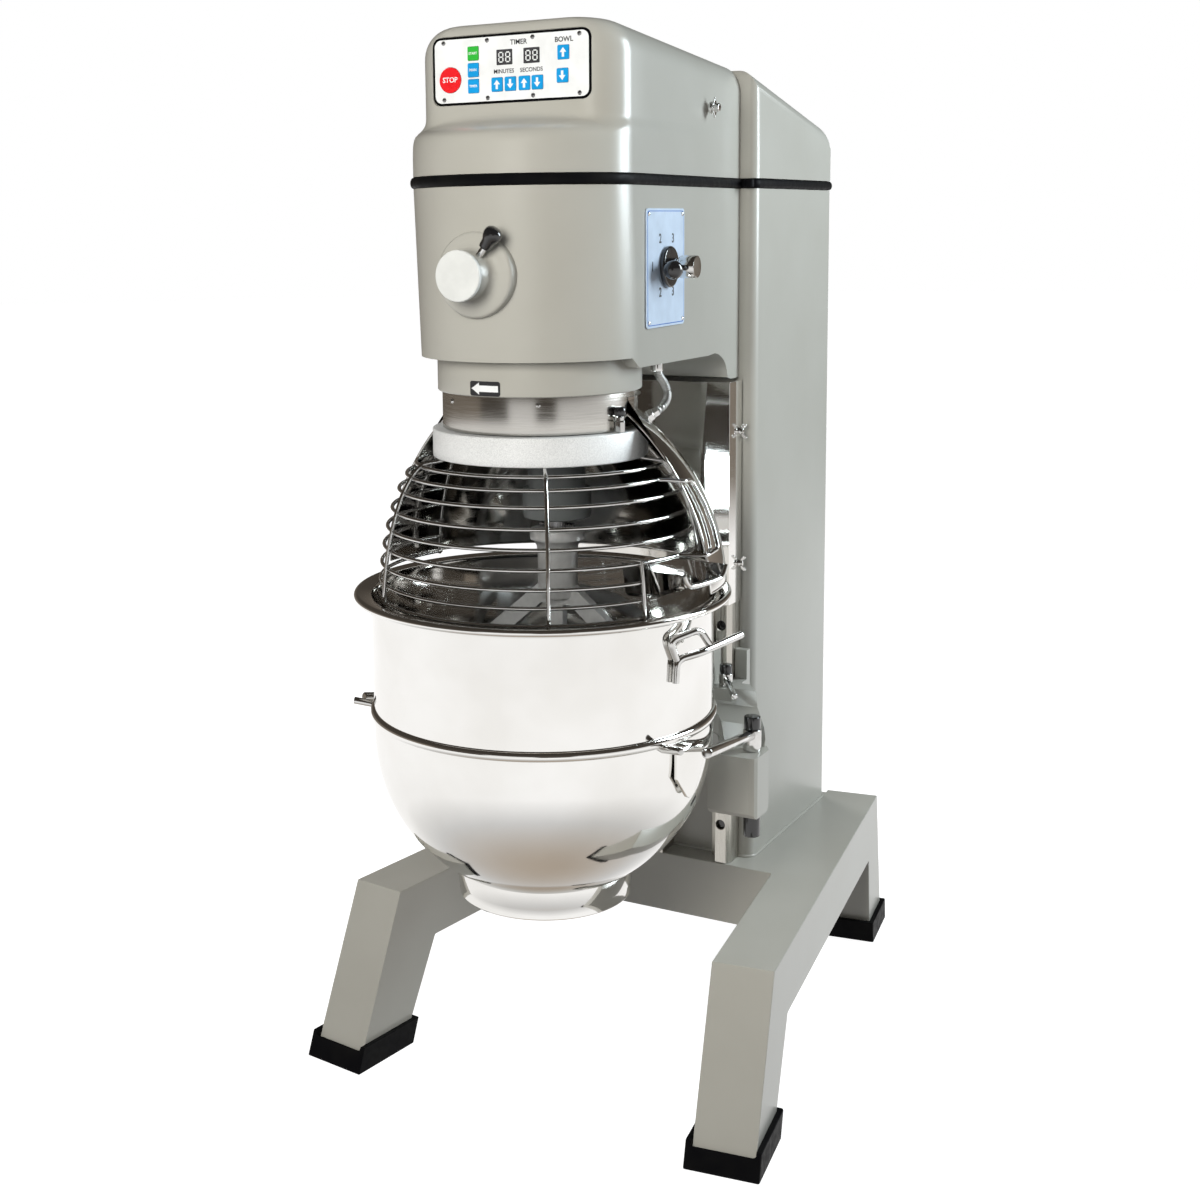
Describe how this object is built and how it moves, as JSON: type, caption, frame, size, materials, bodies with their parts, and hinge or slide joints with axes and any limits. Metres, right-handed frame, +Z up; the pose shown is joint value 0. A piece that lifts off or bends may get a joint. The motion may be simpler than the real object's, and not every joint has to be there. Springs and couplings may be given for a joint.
{
  "type": "commercial stand mixer",
  "caption": "Floor-standing planetary mixer: splayed base, box column, geared head with control panel, lifting bowl on a yoke, flat beater, wire guard, feed chute and rear shield.",
  "frame": {"origin": "on the floor, at the middle of the footprint's box", "axes": "+Z up; the bowl and the control panel are at the front, which faces -Y; the speed selector is on the +X side"},
  "size_m": [0.7928, 1.176, 1.64],
  "materials": {
    "body_paint": "satin warm grey enamel",
    "rubber": "matt black rubber",
    "polished_steel": "mirror polished stainless steel",
    "brushed_steel": "brushed stainless steel",
    "satin_aluminium": "satin cast aluminium",
    "chrome": "bright plated steel",
    "black_plastic": "glossy black phenolic",
    "white_plastic": "satin white plastic",
    "panel_white": "satin white overlay with printed legends",
    "key_blue": "satin blue key",
    "key_green": "satin green key",
    "key_red": "glossy red push button",
    "gear_steel": "machined steel",
    "slide_steel": "ground steel slide",
    "motor_grey": "grey machine enamel"
  },
  "bodies": {
    "stand": {"base_frame": "body_paint", "foot_front_right": "rubber", "foot_front_left": "rubber", "foot_rear_right": "rubber", "foot_rear_left": "rubber", "column": "body_paint", "rear_panel": "body_paint", "cable_gland": "black_plastic", "column_cover": "body_paint", "gear_housing": "body_paint", "head_cover": "body_paint", "seam_trim": "rubber", "collar_band": "brushed_steel", "latch_body": "chrome", "rear_shield": "polished_steel", "conduit": "chrome", "splash_panel": "polished_steel", "rail_right": "slide_steel", "rail_left": "slide_steel", "screw_bearings": "slide_steel", "ring_gear": "gear_steel", "motor": "motor_grey", "drive_belt": "rubber", "gear_plate": "panel_white", "control_panel": "panel_white"},
    "carriage": {"bowl_yoke": "body_paint", "bowl": "polished_steel", "bowl_handle_right": "chrome", "bowl_handle_left": "chrome"},
    "clamp_right": {"clamp_lever_right": "chrome"},
    "clamp_left": {"clamp_lever_left": "chrome"},
    "clamp_rear": {"rear_clamp_lever": "chrome"},
    "lift_screw_body": {"lift_screw": "gear_steel"},
    "planetary": {"planetary_carrier": "motor_grey"},
    "beater": {"agitator_shaft": "gear_steel", "agitator": "satin_aluminium"},
    "input": {"input_shaft": "gear_steel"},
    "rotor": {"motor_pulley": "gear_steel"},
    "hub_drive": {"hub_shaft": "gear_steel"},
    "guard": {"guard_ring": "satin_aluminium", "guard_cage": "chrome", "feed_chute": "polished_steel"},
    "guard_plunger": {"latch_plunger": "black_plastic"},
    "hub_cap": {"hub_plug": "white_plastic"},
    "hub_screw": {"hub_thumbscrew": "black_plastic"},
    "selector": {"speed_selector": "black_plastic"},
    "selector_pull": {"selector_knob": "chrome"},
    "cover_catch_right": {"cover_latch_right": "chrome"},
    "cover_catch_left": {"cover_latch_left": "chrome"},
    "stop_button_body": {"stop_button": "key_red"},
    "start_key_body": {"start_key": "key_green"},
    "manual_key_body": {"manual_key": "key_blue"},
    "timer_key_body": {"timer_key": "key_blue"},
    "minutes_up_key_body": {"minutes_up_key": "key_blue"},
    "minutes_down_key_body": {"minutes_down_key": "key_blue"},
    "seconds_up_key_body": {"seconds_up_key": "key_blue"},
    "seconds_down_key_body": {"seconds_down_key": "key_blue"},
    "bowl_up_key_body": {"bowl_up_key": "key_blue"},
    "bowl_down_key_body": {"bowl_down_key": "key_blue"}
  },
  "joints": [
    {"name": "bowl_lift", "type": "slide", "parent": "stand", "child": "carriage", "axis": [0, 0, 1], "range_m": [-0.105, 0]},
    {"name": "lift_screw_spin", "type": "hinge", "parent": "stand", "child": "lift_screw_body", "pos_m": [0, 0.08697, 0.6], "axis": [0, 0, 1], "continuous": true},
    {"name": "clamp_right_swing", "type": "hinge", "parent": "carriage", "child": "clamp_right", "pos_m": [0.245, -0.06203, 0.5], "axis": [0, 0, 1], "range_deg": [0, 60]},
    {"name": "clamp_left_swing", "type": "hinge", "parent": "carriage", "child": "clamp_left", "pos_m": [-0.245, -0.06203, 0.5], "axis": [0, 0, 1], "range_deg": [-40, 0]},
    {"name": "clamp_rear_swing", "type": "hinge", "parent": "carriage", "child": "clamp_rear", "pos_m": [0.158, 0.03697, 0.6], "axis": [0, 0, 1], "range_deg": [0, 50]},
    {"name": "planetary_spin", "type": "hinge", "parent": "stand", "child": "planetary", "pos_m": [0, -0.30303, 1], "axis": [0, 0, 1], "continuous": true},
    {"name": "beater_spin", "type": "hinge", "parent": "planetary", "child": "beater", "pos_m": [-0.00946, -0.23569, 1], "axis": [0, 0, 1], "continuous": true},
    {"name": "input_spin", "type": "hinge", "parent": "stand", "child": "input", "pos_m": [0, -0.17403, 1.2], "axis": [0, 0, 1], "continuous": true},
    {"name": "rotor_spin", "type": "hinge", "parent": "stand", "child": "rotor", "pos_m": [0, 0.25697, 1.2], "axis": [0, 0, 1], "continuous": true},
    {"name": "hub_drive_spin", "type": "hinge", "parent": "stand", "child": "hub_drive", "pos_m": [0, -0.40303, 1.285], "axis": [0, 1, 0], "continuous": true},
    {"name": "guard_turn", "type": "hinge", "parent": "stand", "child": "guard", "pos_m": [0, -0.30303, 1.03], "axis": [0, 0, 1], "range_deg": [-95, 0]},
    {"name": "guard_latch_lift", "type": "slide", "parent": "stand", "child": "guard_plunger", "axis": [0, 0, 1], "range_m": [0, 0.008], "stiffness_N_per_m": 200},
    {"name": "hub_cap_slide", "type": "slide", "parent": "stand", "child": "hub_cap", "axis": [0, -1, 0], "range_m": [0, 0.06]},
    {"name": "hub_screw_turn", "type": "hinge", "parent": "stand", "child": "hub_screw", "pos_m": [0, -0.50803, 1.285], "axis": [0.6157, 0, 0.788], "range_deg": [-180, 180]},
    {"name": "speed_select", "type": "hinge", "parent": "stand", "child": "selector", "pos_m": [0.16524, -0.21703, 1.289], "axis": [0.9985, 0.0542, 0], "range_deg": [-110, 110]},
    {"name": "selector_pull_out", "type": "slide", "parent": "selector", "child": "selector_pull", "axis": [0.9985, 0.0542, 0], "range_m": [0, 0.008], "stiffness_N_per_m": 300},
    {"name": "cover_catch_right_turn", "type": "hinge", "parent": "stand", "child": "cover_catch_right", "pos_m": [0.162, -0.03803, 1.528], "axis": [1, 0, 0], "range_deg": [0, 90]},
    {"name": "cover_catch_left_turn", "type": "hinge", "parent": "stand", "child": "cover_catch_left", "pos_m": [-0.162, -0.03803, 1.528], "axis": [-1, 0, 0], "range_deg": [0, 90]},
    {"name": "stop_button_press", "type": "slide", "parent": "stand", "child": "stop_button_body", "axis": [0, 1, 0], "range_m": [0, 0.001], "stiffness_N_per_m": 400},
    {"name": "start_key_press", "type": "slide", "parent": "stand", "child": "start_key_body", "axis": [0, 1, 0], "range_m": [0, 0.001], "stiffness_N_per_m": 400},
    {"name": "manual_key_press", "type": "slide", "parent": "stand", "child": "manual_key_body", "axis": [0, 1, 0], "range_m": [0, 0.001], "stiffness_N_per_m": 400},
    {"name": "timer_key_press", "type": "slide", "parent": "stand", "child": "timer_key_body", "axis": [0, 1, 0], "range_m": [0, 0.001], "stiffness_N_per_m": 400},
    {"name": "minutes_up_key_press", "type": "slide", "parent": "stand", "child": "minutes_up_key_body", "axis": [0, 1, 0], "range_m": [0, 0.001], "stiffness_N_per_m": 400},
    {"name": "minutes_down_key_press", "type": "slide", "parent": "stand", "child": "minutes_down_key_body", "axis": [0, 1, 0], "range_m": [0, 0.001], "stiffness_N_per_m": 400},
    {"name": "seconds_up_key_press", "type": "slide", "parent": "stand", "child": "seconds_up_key_body", "axis": [0, 1, 0], "range_m": [0, 0.001], "stiffness_N_per_m": 400},
    {"name": "seconds_down_key_press", "type": "slide", "parent": "stand", "child": "seconds_down_key_body", "axis": [0, 1, 0], "range_m": [0, 0.001], "stiffness_N_per_m": 400},
    {"name": "bowl_up_key_press", "type": "slide", "parent": "stand", "child": "bowl_up_key_body", "axis": [0, 1, 0], "range_m": [0, 0.001], "stiffness_N_per_m": 400},
    {"name": "bowl_down_key_press", "type": "slide", "parent": "stand", "child": "bowl_down_key_body", "axis": [0, 1, 0], "range_m": [0, 0.001], "stiffness_N_per_m": 400}
  ],
  "couplings": [
    {"joint": "beater_spin", "follows": "planetary_spin", "ratio": -3},
    {"joint": "input_spin", "follows": "planetary_spin", "ratio": -2},
    {"joint": "rotor_spin", "follows": "planetary_spin", "ratio": -3.519},
    {"joint": "hub_drive_spin", "follows": "planetary_spin", "ratio": 1},
    {"joint": "lift_screw_spin", "follows": "bowl_lift", "rad_per_m": -314.16}
  ]
}
